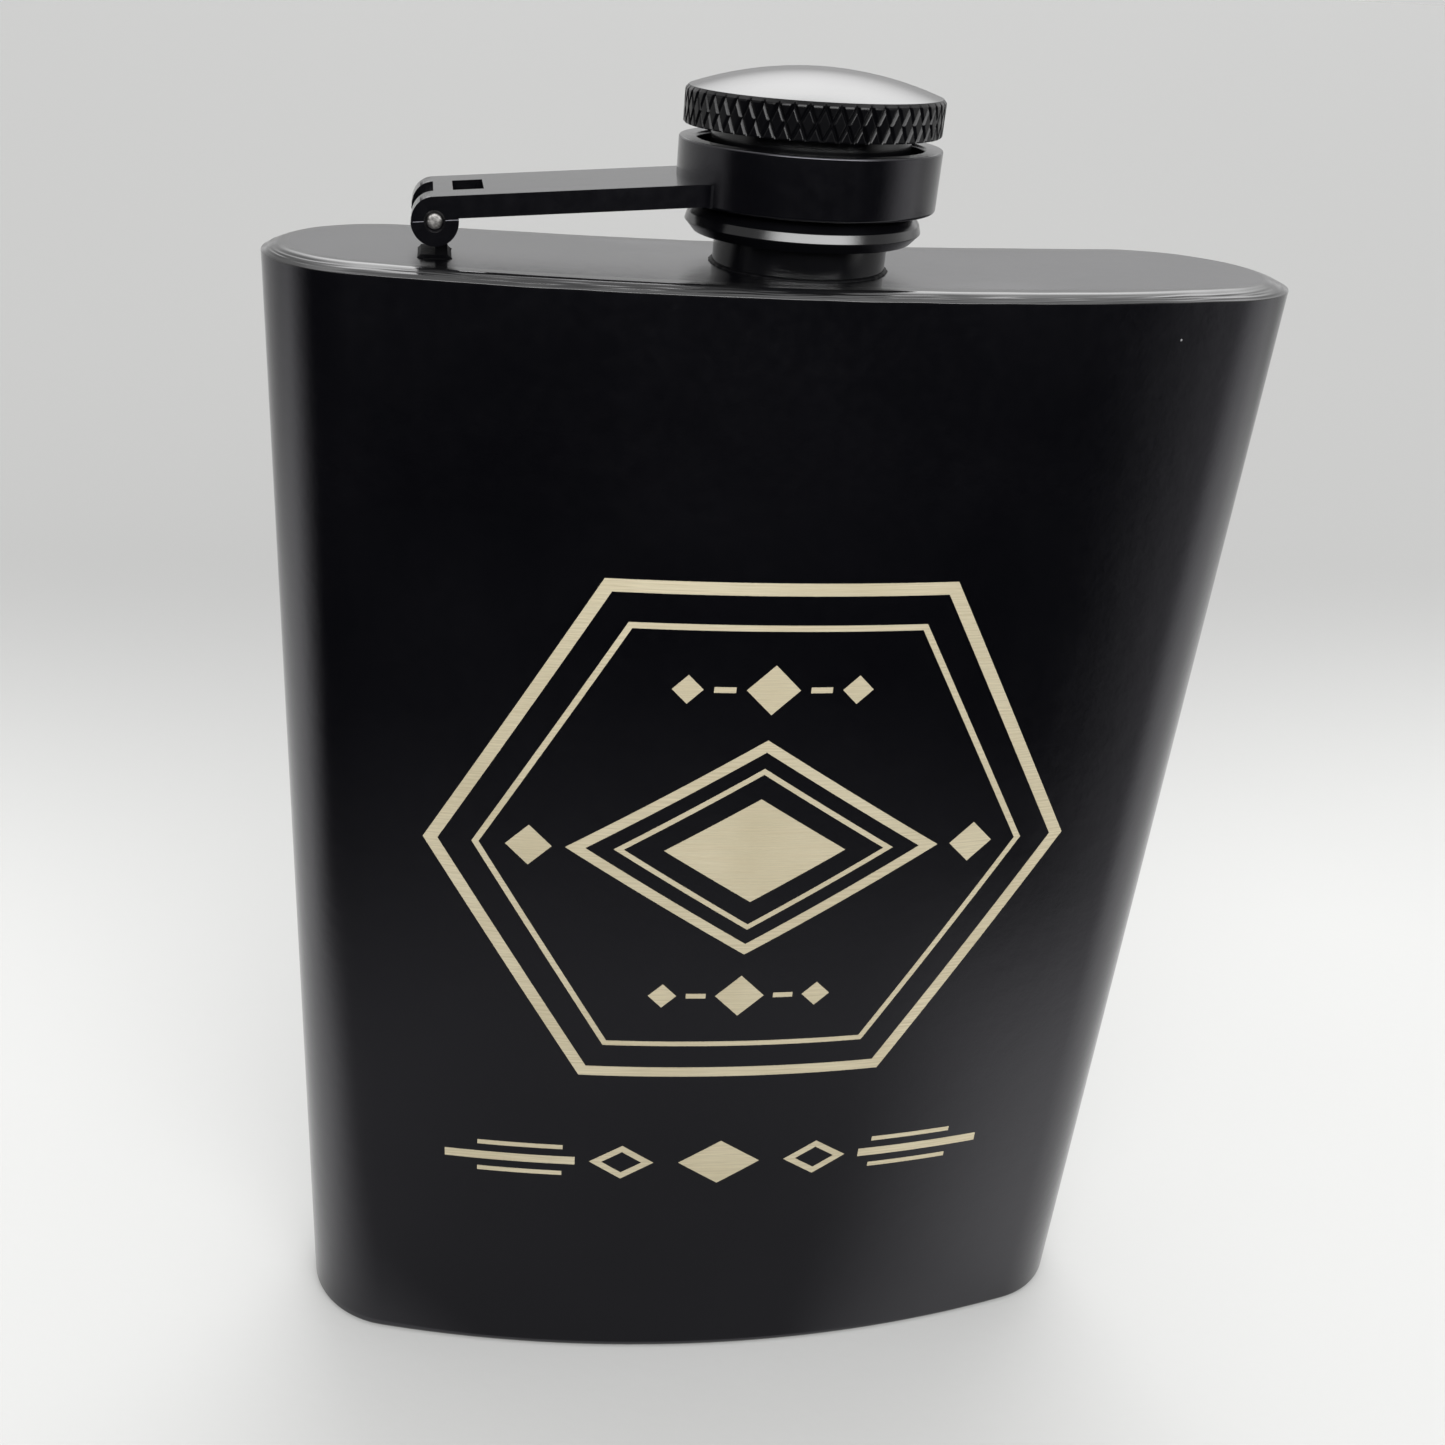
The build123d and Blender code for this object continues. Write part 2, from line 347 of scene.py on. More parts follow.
def finish_piece(piece, body, slot, *nodes):
    """Ties a piece to its body and hides the CAD nodes that it stands for. slot is not used."""
    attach(piece, body)
    if nodes:
        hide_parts(*nodes)


# ------------ the vessel's outline


def outline_stations():
    """Points round the section and their outward directions, counter-clockwise from the hinge
    end of the front."""
    slope = (FRONT_RADIUS + BACK_RADIUS) / (2 * (DEPTH + BACK_RADIUS - FRONT_RADIUS))
    front_y = FRONT_RADIUS - DEPTH / 2
    low, high = box_mm("body_tube")
    half = (high.x - low.x) / 2
    lead = slope * DEPTH - front_y
    a = 4 * slope**2
    b = 2 * (FRONT_RADIUS - half) - 4 * slope * lead
    c = lead**2 + half**2 - FRONT_RADIUS**2
    end_radius = (-b + math.sqrt(b**2 - 4 * a * c)) / (2 * a)
    end_x, end_y = half - end_radius, slope * (DEPTH - 2 * end_radius)
    back_y = BACK_RADIUS + DEPTH / 2
    front_lean = math.atan2(end_x, front_y - end_y)
    back_lean = math.atan2(end_x, back_y - end_y)
    quarter = math.pi / 2
    pieces = (
        (0, front_y, FRONT_RADIUS, -quarter - front_lean, -quarter + front_lean, 1, 128),
        (end_x, end_y, end_radius, -quarter + front_lean, quarter + back_lean, 1, 72),
        (0, back_y, BACK_RADIUS, -quarter + back_lean, -quarter - back_lean, -1, 128),
        (-end_x, end_y, end_radius, quarter - back_lean, 3 * quarter - front_lean, 1, 72),
    )
    points, outward = [], []
    for x, y, radius, start, end, side, steps in pieces:
        for angle in np.linspace(start, end, steps, endpoint=False):
            ray = np.array([math.cos(angle), math.sin(angle)])
            points.append(np.array([x, y + AXIS.y]) + radius * ray)
            outward.append(side * ray)
    return np.array(points), np.array(outward)


OUTLINE, OUTWARD = outline_stations()
STATIONS = len(OUTLINE)


def ring_at(inset, z):
    """The outline drawn in by inset at height z; either may vary from station to station."""
    inset = np.broadcast_to(inset, STATIONS)
    height = np.broadcast_to(z, STATIONS)
    return np.column_stack([OUTLINE - OUTWARD * inset[:, None], height])


def ripple(size, *coordinates):
    """Smooth unevenness between -size and size."""
    return size * noise.noise(Vector(coordinates))


def smooth_step(value, low, high):
    t = np.clip((value - low) / (high - low), 0, 1)
    return t * t * (3 - 2 * t)


# ------------ materials


class Nodes:
    """A short way to build a node material on the Principled shader."""

    def __init__(self, name):
        self.material = bpy.data.materials.new(name)
        self.material.use_nodes = True
        self.tree = self.material.node_tree
        self.shader = self.tree.nodes["Principled BSDF"]
        self.place = self.add("ShaderNodeTexCoord").outputs["Object"]

    def feed(self, socket, value):
        """Links another node's output to the socket, or sets a plain value there."""
        if isinstance(value, bpy.types.NodeSocket):
            self.tree.links.new(value, socket)
        elif value is not None:
            socket.default_value = value

    def add(self, kind, inputs={}, **settings):
        node = self.tree.nodes.new(kind)
        for key, value in settings.items():
            setattr(node, key, value)
        for key, value in inputs.items():
            self.feed(node.inputs[key], value)
        return node

    def stretched(self, scale):
        """The object's coordinates, scaled along each axis."""
        return self.add("ShaderNodeMapping", {"Vector": self.place, "Scale": scale}).outputs[0]

    def noise(self, scale, detail, vector=None):
        """Noise around 0.5; scale is in features per metre."""
        return self.add(
            "ShaderNodeTexNoise",
            {"Vector": vector or self.place, "Scale": scale, "Detail": detail, "Roughness": 0.55},
        ).outputs["Fac"]

    def spread(self, value, low, high, from_low=0.3, from_high=0.7, **settings):
        """Maps a value, usually noise, onto a range."""
        return self.add(
            "ShaderNodeMapRange",
            {
                "Value": value, "From Min": from_low, "From Max": from_high,
                "To Min": low, "To Max": high,
            },
            **settings,
        ).outputs["Result"]

    def fade(self, value, start, end):
        """0 at the start and 1 at the end, softly in between."""
        return self.spread(value, 0.0, 1.0, start, end, interpolation_type="SMOOTHSTEP")

    def about_axis(self, place):
        """A place's coordinates, and its distance from the upright axis."""
        split = self.add("ShaderNodeSeparateXYZ", {"Vector": place}).outputs
        flat = self.add("ShaderNodeCombineXYZ", {"X": split["X"], "Y": split["Y"]}).outputs[0]
        reach = self.add("ShaderNodeVectorMath", {0: flat}, operation="LENGTH")
        return split, reach.outputs["Value"]

    def mix(self, factor, a, b):
        node = self.add("ShaderNodeMix", {"Factor": factor}, data_type="RGBA")
        for socket, value in ((node.inputs[6], a), (node.inputs[7], b)):
            self.feed(socket, (*value, 1) if isinstance(value, tuple) else value)
        return node.outputs[2]

    def mottled(self, value, a, b):
        """A colour between two, by a noise value."""
        return self.mix(self.spread(value, 0, 1), a, b)

    def math(self, operation, a, b):
        return self.add("ShaderNodeMath", {0: a, 1: b}, operation=operation).outputs[0]

    def bump(self, height, depth, normal=None):
        """depth is how far the height of 1 stands out, in metres."""
        inputs = {"Height": height, "Distance": depth, "Strength": 1.0, "Normal": normal}
        return self.add("ShaderNodeBump", inputs).outputs["Normal"]

    def specks(self, spacing, size, share):
        """1 on rare small dots: how far apart they may be, their size and the share used."""
        cells = self.add("ShaderNodeTexVoronoi", {"Vector": self.place, "Scale": 1 / spacing})
        near = self.math("LESS_THAN", cells.outputs["Distance"], size / spacing)
        pick = self.add("ShaderNodeSeparateColor", {"Color": cells.outputs["Color"]}).outputs["Red"]
        return self.math("MULTIPLY", near, self.math("LESS_THAN", pick, share))

    def finish(self, color, roughness, normal=None, **fixed):
        """Feeds the shader. What is fixed is the same all over the surface."""
        inputs = {"Base Color": color, "Roughness": roughness, "Normal": normal, **fixed}
        for key, value in inputs.items():
            self.feed(self.shader.inputs[key.replace("_", " ")], value)
        return self.material


def coat_material(name, low, high, grain=2600, depth=6e-6, dust=0.35, density=1.5):
    """Satin black coat: a fine orange peel, slightly cloudy gloss between low and high roughness,
    and a few grains of dust."""
    n = Nodes(name)
    cloud = n.noise(45, 3)
    peel = n.noise(grain, 2)
    swell = n.noise(420, 2)
    base = n.mottled(cloud, (0.0006, 0.00063, 0.00096), (0.00096, 0.00096, 0.00138))
    color = n.mix(n.specks(0.011, 0.00011, dust), base, (0.14, 0.14, 0.14))
    gloss = n.math("ADD", n.spread(cloud, low, high), n.spread(n.noise(900, 3), -0.02, 0.02))
    normal = n.bump(peel, depth)
    normal = n.bump(swell, depth * 3, normal=normal)
    return n.finish(color, gloss, normal, IOR=density, Specular_Tint=(0.92, 0.91, 1, 1))


def turned_material(name, low, high, shine=0.5):
    """Coated parts that were turned on a lathe: faint rings run round the axis under the coat."""
    n = Nodes(name)
    cloud = n.noise(120, 3)
    centred = n.add(
        "ShaderNodeMapping", {"Vector": n.place, "Location": (-AXIS.x * MM, -AXIS.y * MM, 0)}
    ).outputs["Vector"]
    split, reach = n.about_axis(centred)
    along = n.add("ShaderNodeCombineXYZ", {"X": reach, "Y": split["Z"]}).outputs["Vector"]
    rings = n.noise(5200, 2, vector=along)
    peel = n.noise(3400, 2)
    base = n.mottled(cloud, (0.0007, 0.0007, 0.001), (0.0014, 0.0014, 0.0019))
    gloss = n.spread(cloud, low, high)
    normal = n.bump(rings, 2.2e-6)
    normal = n.bump(peel, 3.5e-6, normal=normal)
    return n.finish(base, gloss, normal, IOR=1.5, Specular_IOR_Level=shine)


def dressed_material(name):
    """Coat over a hand-dressed weld: streaks run along the edge."""
    n = Nodes(name)
    streak = n.noise(1500, 3, vector=n.stretched((0.05, 0.3, 1.6)))
    cloud = n.noise(160, 3)
    base = n.mottled(cloud, (0.0026, 0.0026, 0.0032), (0.006, 0.006, 0.0062))
    gloss = n.math("ADD", n.spread(cloud, 0.12, 0.17), n.spread(streak, -0.02, 0.03))
    normal = n.bump(streak, 9e-6)
    return n.finish(base, gloss, normal, IOR=1.55)


def bead_material(name, shine):
    """Coat that has gone on dull and thick, over a weld bead and on the small lug."""
    n = Nodes(name)
    lump = n.noise(2400, 3)
    base = n.mottled(lump, (0.0006, 0.0006, 0.0009), (0.0014, 0.0014, 0.0018))
    gloss = n.spread(lump, 0.45, 0.6)
    return n.finish(base, gloss, n.bump(lump, 1.5e-5), IOR=1.5, Specular_IOR_Level=shine)


def engraved_material(name):
    """Steel laid bare by the engraving beam: fine level hatching, champagne from the heat."""
    n = Nodes(name)
    hatch = n.noise(5200, 2, vector=n.stretched((0.035, 0.035, 1)))
    tint = n.noise(95, 3)
    warm = n.mottled(tint, (0.56, 0.5, 0.345), (0.655, 0.593, 0.43))
    color = n.mix(n.spread(hatch, 0, 0.55), warm, (0.31, 0.262, 0.178))
    gloss = n.spread(hatch, 0.42, 0.6)
    return n.finish(color, gloss, n.bump(hatch, 5e-6), Metallic=0.75, IOR=1.5)


def pin_material(name):
    """Bare steel of the hinge pin, hammered over at its ends."""
    n = Nodes(name)
    mottle = n.noise(2600, 3)
    color = n.mottled(mottle, (0.08, 0.077, 0.074), (0.27, 0.262, 0.254))
    return n.finish(color, n.spread(mottle, 0.42, 0.6), n.bump(mottle, 1.2e-5), Metallic=1.0)


def silicone_material(name):
    """Milky silicone with a fine moulded grain."""
    n = Nodes(name)
    cloud = n.noise(300, 3)
    color = n.mottled(cloud, (0.62, 0.62, 0.6), (0.74, 0.74, 0.72))
    return n.finish(color, n.spread(cloud, 0.45, 0.6), n.bump(n.noise(2200, 2), 1e-5), IOR=1.41)


def floor_material(name):
    """Pale card, a little greyer behind the flask."""
    n = Nodes(name)
    cloud = n.noise(9, 3)
    far = n.fade(n.about_axis(n.place)[0]["Y"], 0.06, 0.26)
    near = n.mottled(cloud, (0.392, 0.392, 0.3876), (0.398, 0.398, 0.3935))
    color = n.mix(far, near, (0.256, 0.256, 0.2531))
    return n.finish(color, 0.8, n.bump(n.noise(700, 3), 2e-5), Specular_IOR_Level=0.05)


def flag_material(name):
    """Black that fades out towards the card's foot, its top and its two ends. The ends are told by
    the angle round from the front, to the left where it is negative."""
    n = Nodes(name)
    split, reach = n.about_axis(n.place)
    angle = n.math("ARCTAN2", split["X"], n.math("MULTIPLY", split["Y"], -1.0))
    near = n.math("MULTIPLY", n.fade(angle, -1.57, -1.13), n.fade(angle, 1.3, 0.55))
    far = n.math("MULTIPLY", n.fade(angle, -1.8, -1.29), n.fade(angle, 1.4, 0.85))
    outwards = n.fade(reach, 0.075, 0.14)
    ends = n.add("ShaderNodeMix", {"Factor": outwards, "A": near, "B": far}).outputs["Result"]
    shade = n.math("MULTIPLY", n.spread(reach, 0.68, 1.0, 0.08, 0.165), ends)
    shade = n.math("MULTIPLY", shade, n.fade(split["Z"], 0.178, 0.156))
    n.tree.links.new(shade, n.shader.inputs["Alpha"])
    return n.finish((0.002, 0.002, 0.003, 1), 1.0, Specular_IOR_Level=0.0)


COAT = coat_material("coat_black", 0.14, 0.18, density=1.62)
EDGE = dressed_material("coat_dressed_edge")
BEAD = bead_material("coat_bead", 0.08)
DULL = bead_material("coat_dull", 0.03)
SHEET = coat_material("coat_sheet", 0.2, 0.25, depth=5e-6)
TURNED = turned_material("coat_turned", 0.15, 0.2)
CAST = coat_material("coat_cast", 0.15, 0.2, grain=3600, depth=5e-6, dust=0.12)
KNURLED = turned_material("coat_knurled", 0.22, 0.28, 0.17)
ENGRAVED = engraved_material("steel_engraved")
PIN_STEEL = pin_material("steel_pin")
SILICONE = silicone_material("silicone")

# ------------ the vessel


def wall_draw(x, side, z):
    """How far the rolled sheet is drawn in: a few hundredths, and nothing near the welds and the
    ends. side is -1 on the front and 1 on the back."""
    top, bottom, calm = SHOULDER - PLATE, PLATE, 12
    hold = smooth_step(z, bottom, bottom + calm) * (1 - smooth_step(z, top - calm, top))
    return (0.055 + ripple(0.03, x / 26, side, z / 30)) * hold * (1 - smooth_step(abs(x), 30, 42))


def make_vessel_wall():
    heights = np.linspace(PLATE, SHOULDER - PLATE, 40)
    rings = []
    sides = [(x, 1 if out > 0 else -1) for x, out in zip(OUTLINE[:, 0], OUTWARD[:, 1])]
    for z in heights:
        rings.append(ring_at(np.array([wall_draw(x, side, z) for x, side in sides]), z))
    rings += [ring_at(WALL, z) for z in heights[::-1]]
    wall = loft("vessel_wall", rings, COAT)
    finish_piece(wall, "root", "powder_coat", "body_tube")


def make_back_seam():
    """The closing weld, ground nearly flush: a low crowned strip down the middle of the back."""
    across, rows = 10, 160
    back_middle = np.argmin(np.abs(OUTLINE[:, 0]) + 1e3 * (OUTWARD[:, 1] < 0))
    y = OUTLINE[back_middle, 1]
    points = []
    for i in range(rows):
        z = PLATE + (SHOULDER - 2 * PLATE) * i / (rows - 1)
        shares = [2 * j / across - 1 for j in range(across + 1)]
        for t in shares:
            x = -t * (SEAM_WIDTH / 2 + ripple(0.12, z / 7, t, 3))
            crown = SEAM_CROWN * (1 - t * t) * (1 + ripple(0.9, z / 1.1, t * 1.5, 7))
            points.append((x, y - wall_draw(x, 1, z) + crown + 0.004 * (1 - abs(t)) - 0.002, z))
        points += [(-t * SEAM_WIDTH / 2, y - WALL, z) for t in reversed(shares)]
    count = 2 * (across + 1)
    faces = skin(rows, count, False)
    faces.append(tuple(range(count - 1, -1, -1)))
    faces.append(tuple(range((rows - 1) * count, rows * count)))
    seam = add_mesh("back_seam", points, faces, COAT)
    finish_piece(seam, "root", "powder_coat", "back_seam_weld")


def edge_width(x):
    """How far the dressed edge reaches in over the shoulder, from the middle to the two ends."""
    end = np.where(x > 0, EDGE_CAP_END, EDGE_HINGE_END)
    return EDGE_WIDTH + (end - EDGE_WIDTH) * smooth_step(np.abs(x), 24, 47)


def make_shoulder_edge():
    """The welded rim, dressed round by hand: a quick turn at the sheet, long streaky facets down to
    a crisp lower arris."""
    steps_along = np.linalg.norm(np.roll(OUTLINE, -1, axis=0) - OUTLINE, axis=1)
    along = TAU * np.cumsum(steps_along) / steps_along.sum()
    around = np.column_stack([np.cos(along), np.sin(along)])
    width = edge_width(OUTLINE[:, 0]) + np.array([ripple(0.12, 9 * c, 9 * d, 1) for c, d in around])
    drop = EDGE_DROP + np.array([ripple(0.05, 8 * c, 8 * d, 5) for c, d in around])
    slant = np.hypot(width, drop)
    rings = [ring_at(WALL, SHOULDER - PLATE), ring_at(0, SHOULDER - PLATE)]
    for t in np.linspace(0, 1, 4):          # the arris
        rise = EDGE_ARRIS * ((1 - t) ** 2 - t * t * drop / slant)
        rings.append(ring_at(t * t * EDGE_ARRIS * width / slant, SHOULDER - drop - rise))
    for t in np.linspace(0, 1, 18)[1:-1]:   # the facets
        reach = EDGE_ARRIS + (slant - EDGE_TURN - EDGE_ARRIS) * t
        streak = np.array([ripple(0.045, 8 * c + 1.5 * t, 8 * d, 5 * t) for c, d in around])
        lift = (0.03 + streak) * math.sin(math.pi * t)
        inset = np.maximum((reach * width - lift * drop) / slant, 0)
        rings.append(ring_at(inset, SHOULDER - drop + (reach * drop + lift * width) / slant))
    for t in np.linspace(0, 1, 10):         # the turn into the sheet
        inset = width - EDGE_TURN * width / slant * (1 - t) ** 2 + EDGE_TURN * t * t
        rings.append(ring_at(inset, SHOULDER - EDGE_TURN * drop / slant * (1 - t) ** 2))
    rings.append(ring_at(EDGE_REACH - 0.05, SHOULDER))
    rings.append(ring_at(EDGE_REACH, SHOULDER))
    rings.append(ring_at(EDGE_REACH, SHOULDER - PLATE))
    for ring in rings:
        ring[:, 2] = np.minimum(ring[:, 2], SHOULDER)
    edge = loft("shoulder_edge", rings, EDGE, sharp_angle=30)
    finish_piece(edge, "root", "powder_coat", "shoulder_weld")


def sheet_rings(inner_radius, z, sag):
    """Rings from the outline in to a round hole on the cap's axis, sagging a little on the way."""
    outer, centre = OUTLINE - OUTWARD * EDGE_REACH, np.array(AXIS.xy)
    rays = outer - centre
    inner = centre + rays / np.linalg.norm(rays, axis=1)[:, None] * inner_radius
    rings = []
    for t in (0, 0.03, 0.1, 0.2, 0.3, 0.4, 0.5, 0.6, 0.7, 0.8, 0.9, 0.97, 1):
        flat = outer * (1 - t) + inner * t
        dip = np.array([ripple(sag, a / 13, b / 13, 9) for a, b in flat]) * math.sin(math.pi * t)
        rings.append(np.column_stack([flat, z + dip]))
    return rings


def make_shoulder_sheet():
    top = sheet_rings(NECK_RADIUS - 0.02, SHOULDER, 0.05)
    under = sheet_rings(NECK_RADIUS - 0.02, SHOULDER - PLATE, 0)
    sheet = loft("shoulder_sheet", top + under[::-1], SHEET)
    finish_piece(sheet, "root", "powder_coat", "shoulder_plate")


def make_base():
    """The base sheet, set in slightly, and its dressed edge."""
    steps, lean = 12, math.radians(80)
    rings = []
    for step in range(steps + 1):
        angle = lean * step / steps
        inset = BASE_EDGE_WIDTH * (1 - math.sin(angle) / math.sin(lean))
        rings.append(ring_at(inset, EDGE_DROP * (1 - math.cos(angle)) / (1 - math.cos(lean))))
    rings += [ring_at(inset, PLATE) for inset in (0, WALL, EDGE_REACH)]
    rings += [ring_at(inset, 0) for inset in (EDGE_REACH, EDGE_REACH - 0.1)]
    edge = loft("base_edge", rings, EDGE, sharp_angle=16)
    finish_piece(edge, "root", "powder_coat", "base_weld")
    dish = 0.12
    under = ((4, dish), (0.9, dish), (0.35, dish / 2), (0, 0))
    flat = [ring_at(EDGE_REACH + inwards, z) for inwards, z in (*under, (0, PLATE), (4, PLATE))]
    rings = [centre_line(dish), *flat, centre_line(PLATE)]
    sheet = loft("base_sheet", rings, SHEET, wrap=False)
    finish_piece(sheet, "root", "powder_coat", "base_plate")


def centre_line(z):
    """The outline gathered almost onto the middle of the section, to close a flat sheet."""
    middle = OUTLINE.mean(axis=0)
    near = middle + (OUTLINE - middle) * 0.02
    return np.column_stack([near, np.full(STATIONS, z)])


make_vessel_wall()
make_back_seam()
make_shoulder_edge()
make_shoulder_sheet()
make_base()

# ------------ neck


def thread(core, crest, start):
    """radius_at for a helical thread that begins at a height and is run out at both ends."""

    def radius_at(radius, height, angles):
        if abs(radius - core) > 1e-6:
            return radius
        along = (height - start) / THREAD_PITCH
        phase = (along - angles / TAU) % 1
        ridge = np.clip((1 - np.abs(2 * phase - 1)) * 1.35 - 0.12, 0, 1)
        run_out = 0.35
        run = smooth_step(along, 0.0, run_out)
        run *= 1 - smooth_step(along, THREAD_TURNS - run_out, THREAD_TURNS)
        return core + (crest - core) * ridge * run

    return radius_at


def make_neck():
    first = NECK_TOP - 0.6 - THREAD_TURNS * THREAD_PITCH
    outside = rounded(
        (NECK_BORE, -PLATE, 0),
        (NECK_RADIUS, -PLATE, 0),
        (NECK_RADIUS, NECK_PLAIN, 0.18),
        (THREAD_CORE, NECK_PLAIN + NECK_RADIUS - THREAD_CORE, 0),
    )
    threaded = [(THREAD_CORE, z) for z in np.linspace(first - 0.3, NECK_TOP - 0.4, 96)]
    mouth = rounded(
        (THREAD_CORE, NECK_TOP - 0.4, 0),
        (THREAD_CORE - 0.3, NECK_TOP, 0.12),
        (NECK_BORE, NECK_TOP, 0.12),
        (NECK_BORE, NECK_TOP - 1, 0),
    )
    profile = outside + threaded + mouth[1:]
    neck = lathe("neck", profile, TURNED, 192, thread(THREAD_CORE, THREAD_CREST, first))
    finish_piece(weighted(neck), "root", "neck_coat", "filler_neck")


def make_neck_bead():
    """A fine weld bead with a ripple for each dab of the torch."""

    def uneven(radius, height, angles):
        swell = np.array([ripple(0.3, 9 * math.cos(a), 9 * math.sin(a), 2) for a in angles])
        scale = 1 + 0.1 * np.sin(46 * angles) + swell
        return np.where(radius > NECK_RADIUS, NECK_RADIUS + (radius - NECK_RADIUS) * scale, radius)

    wide, high = 0.75 * NECK_BEAD, 0.5 * NECK_BEAD
    profile = [(NECK_RADIUS - 0.1, -0.05), (NECK_RADIUS + wide * 1.05, -0.05)]
    for a in np.linspace(0.1, math.pi / 2, 8):
        profile.append((NECK_RADIUS + wide * math.cos(a) + 0.01, high * math.sin(a)))
    profile.append((NECK_RADIUS - 0.1, high))
    bead = lathe("neck_bead", profile, BEAD, 276, uneven)
    finish_piece(bead, "root", "neck_coat", "neck_weld")


make_neck()
make_neck_bead()

# ------------ hinge lug


def hinge_place(u, v, across):
    """From the hinge's upright plane and a distance across it, to the row frame."""
    return (PIVOT.x + u, PIVOT.y - across, PIVOT.z + v)


def arm_place(u, v, across):
    """The same for the swing arm's sloping frame."""
    cosine, sine = math.cos(ARM_RISE), math.sin(ARM_RISE)
    return hinge_place(u * cosine - v * sine, u * sine + v * cosine, across)


def make_lug():
    """The barrel that the pin runs in, on a thin stem and a foot."""
    floor, half = SHOULDER - PIVOT.z, FOOT_LENGTH / 2
    side = arc_points((0, 0), LUG_RADIUS, math.radians(24), math.pi, 28)
    side += arc_points((0, 0), LUG_RADIUS, math.radians(188), math.radians(262), 12)
    side += [(0.03, -1.35), (0.03, floor - 0.2), (STEM_THICKNESS, floor - 0.2), (STEM_THICKNESS, 0)]
    lug = prism("lug", side, -LUG_HALF_WIDTH, LUG_HALF_WIDTH, hinge_place, DULL)
    outline = rectangle(-half, half, floor - 0.2, floor + FOOT_HEIGHT)
    foot = prism("foot", outline, -FOOT_WIDTH / 2, FOOT_WIDTH / 2, hinge_place, DULL)
    combine(lug, foot, "UNION")
    bevelled(lug, 0.14)
    shade(lug.data, 40)
    finish_piece(weighted(lug), "root", "arm_coat", "hinge_lug")


def make_lug_bead():
    """Weld fillet round the foot of the lug."""
    reach_x, reach_y = FOOT_LENGTH / 2 - FOOT_CORNER, FOOT_WIDTH / 2 - FOOT_CORNER
    ring_points = []
    for side_x, side_y, start in ((1, 1, 0), (-1, 1, 90), (-1, -1, 180), (1, -1, 270)):
        middle = (PIVOT.x + side_x * reach_x, PIVOT.y + side_y * reach_y)
        for a in np.linspace(math.radians(start), math.radians(start + 90), 26):
            ring_points.append((middle, a))
    rings = []
    section = (
        (-0.25, -0.05), (0.9, -0.05), (0.85, 0.1), (0.5, 0.35),
        (0.2, 0.7), (-0.05, 0.95), (-0.25, 0.95),
    )
    for out, up in section:
        ring = []
        for i, ((x, y), a) in enumerate(ring_points):
            uneven = 1 + 0.14 * math.sin(i * 1.1) + ripple(0.35, i / 6, out, 4) if out > 0.05 else 1
            reach = FOOT_CORNER + FOOT_BEAD * out * uneven
            along, across = reach * math.cos(a), reach * math.sin(a)
            ring.append((x + along, y + across, SHOULDER + FOOT_BEAD * up))
        rings.append(ring)
    bead = loft("lug_bead", rings, DULL)
    finish_piece(bead, "root", "arm_coat", "lug_weld")


make_lug()
make_lug_bead()

# ------------ swing arm and pin


def arm_ring(radius, across, count):
    """A ring about the hinge's axis."""
    angles = TAU * np.arange(count) / count
    return [arm_place(radius * math.cos(a), radius * math.sin(a), across) for a in angles]


def arm_blank():
    """The arm's side view as a wide bar, cut to its plan: straight, then flared out to the collar.
    The ears' lower half is a hair larger, where the mould's halves met."""
    lower, far = ARM_TOP + 0.05, 2 - PIVOT.x
    side = [(far, ARM_BOTTOM), (far, ARM_TOP)]
    side += arc_points((0, 0), ARM_TOP, math.pi / 2, math.pi, 20)
    side += arc_points((0, 0), lower, math.pi, TAU - 0.02, 44)
    side += [(lower, ARM_BOTTOM)]
    bar = prism("arm", side, -2 * ARM_HALF_WIDTH, 2 * ARM_HALF_WIDTH, arm_place, CAST)

    flare_x = -math.sqrt((COLLAR_RADIUS + ARM_FLARE) ** 2 - (ARM_HALF_WIDTH + ARM_FLARE) ** 2)
    flare_y = ARM_HALF_WIDTH + ARM_FLARE
    touch = math.atan2(flare_y, flare_x)
    upper = arc_points((flare_x, flare_y), ARM_FLARE, -math.pi / 2, touch - math.pi, 14)
    round_neck = arc_points((0, 0), COLLAR_RADIUS - 0.8, touch, TAU - touch, 40)
    left = PIVOT.x - 2 * ARM_TOP
    plan = [(left, ARM_HALF_WIDTH), (left, -ARM_HALF_WIDTH)]
    plan += [(x, -y) for x, y in upper + round_neck]
    plan += upper[::-1]
    cutter = prism(
        "plan", plan, SHOULDER, SHOULDER + COLLAR_TOP + 3,
        lambda u, v, h: (AXIS.x + u, AXIS.y + v, h), CAST,
    )
    return combine(bar, cutter, "INTERSECT")


def add_flash(bar, sign):
    """The line that the mould's halves left across an ear."""
    face, root = sign * ARM_HALF_WIDTH, sign * (ARM_HALF_WIDTH - 0.2)
    ridge = [(-FLASH_HALF_HEIGHT, root), (FLASH_HALF_HEIGHT, root), (FLASH_HALF_HEIGHT, face)]
    ridge += [(0, face + sign * FLASH_PROUD), (-FLASH_HALF_HEIGHT, face)]
    flash = prism(
        "flash", ridge[::sign], 0.15 - ARM_TOP, ARM_TOP + 0.03,
        lambda v, across, u: arm_place(u, v, across), CAST,
    )
    combine(bar, flash, "UNION")


def drill_ear(bar, sign):
    """The pin's hole, with a chamfer at its mouth."""
    wide = PIN_RADIUS + PIN_CHAMFER
    profile = ((-1, wide + 0.3), (0, wide), (PIN_CHAMFER, PIN_RADIUS), (4, PIN_RADIUS))
    rings = [arm_ring(radius, sign * (ARM_HALF_WIDTH - depth), 48) for depth, radius in profile]
    combine(bar, loft("hole", rings[::-sign], CAST, wrap=False), "DIFFERENCE")


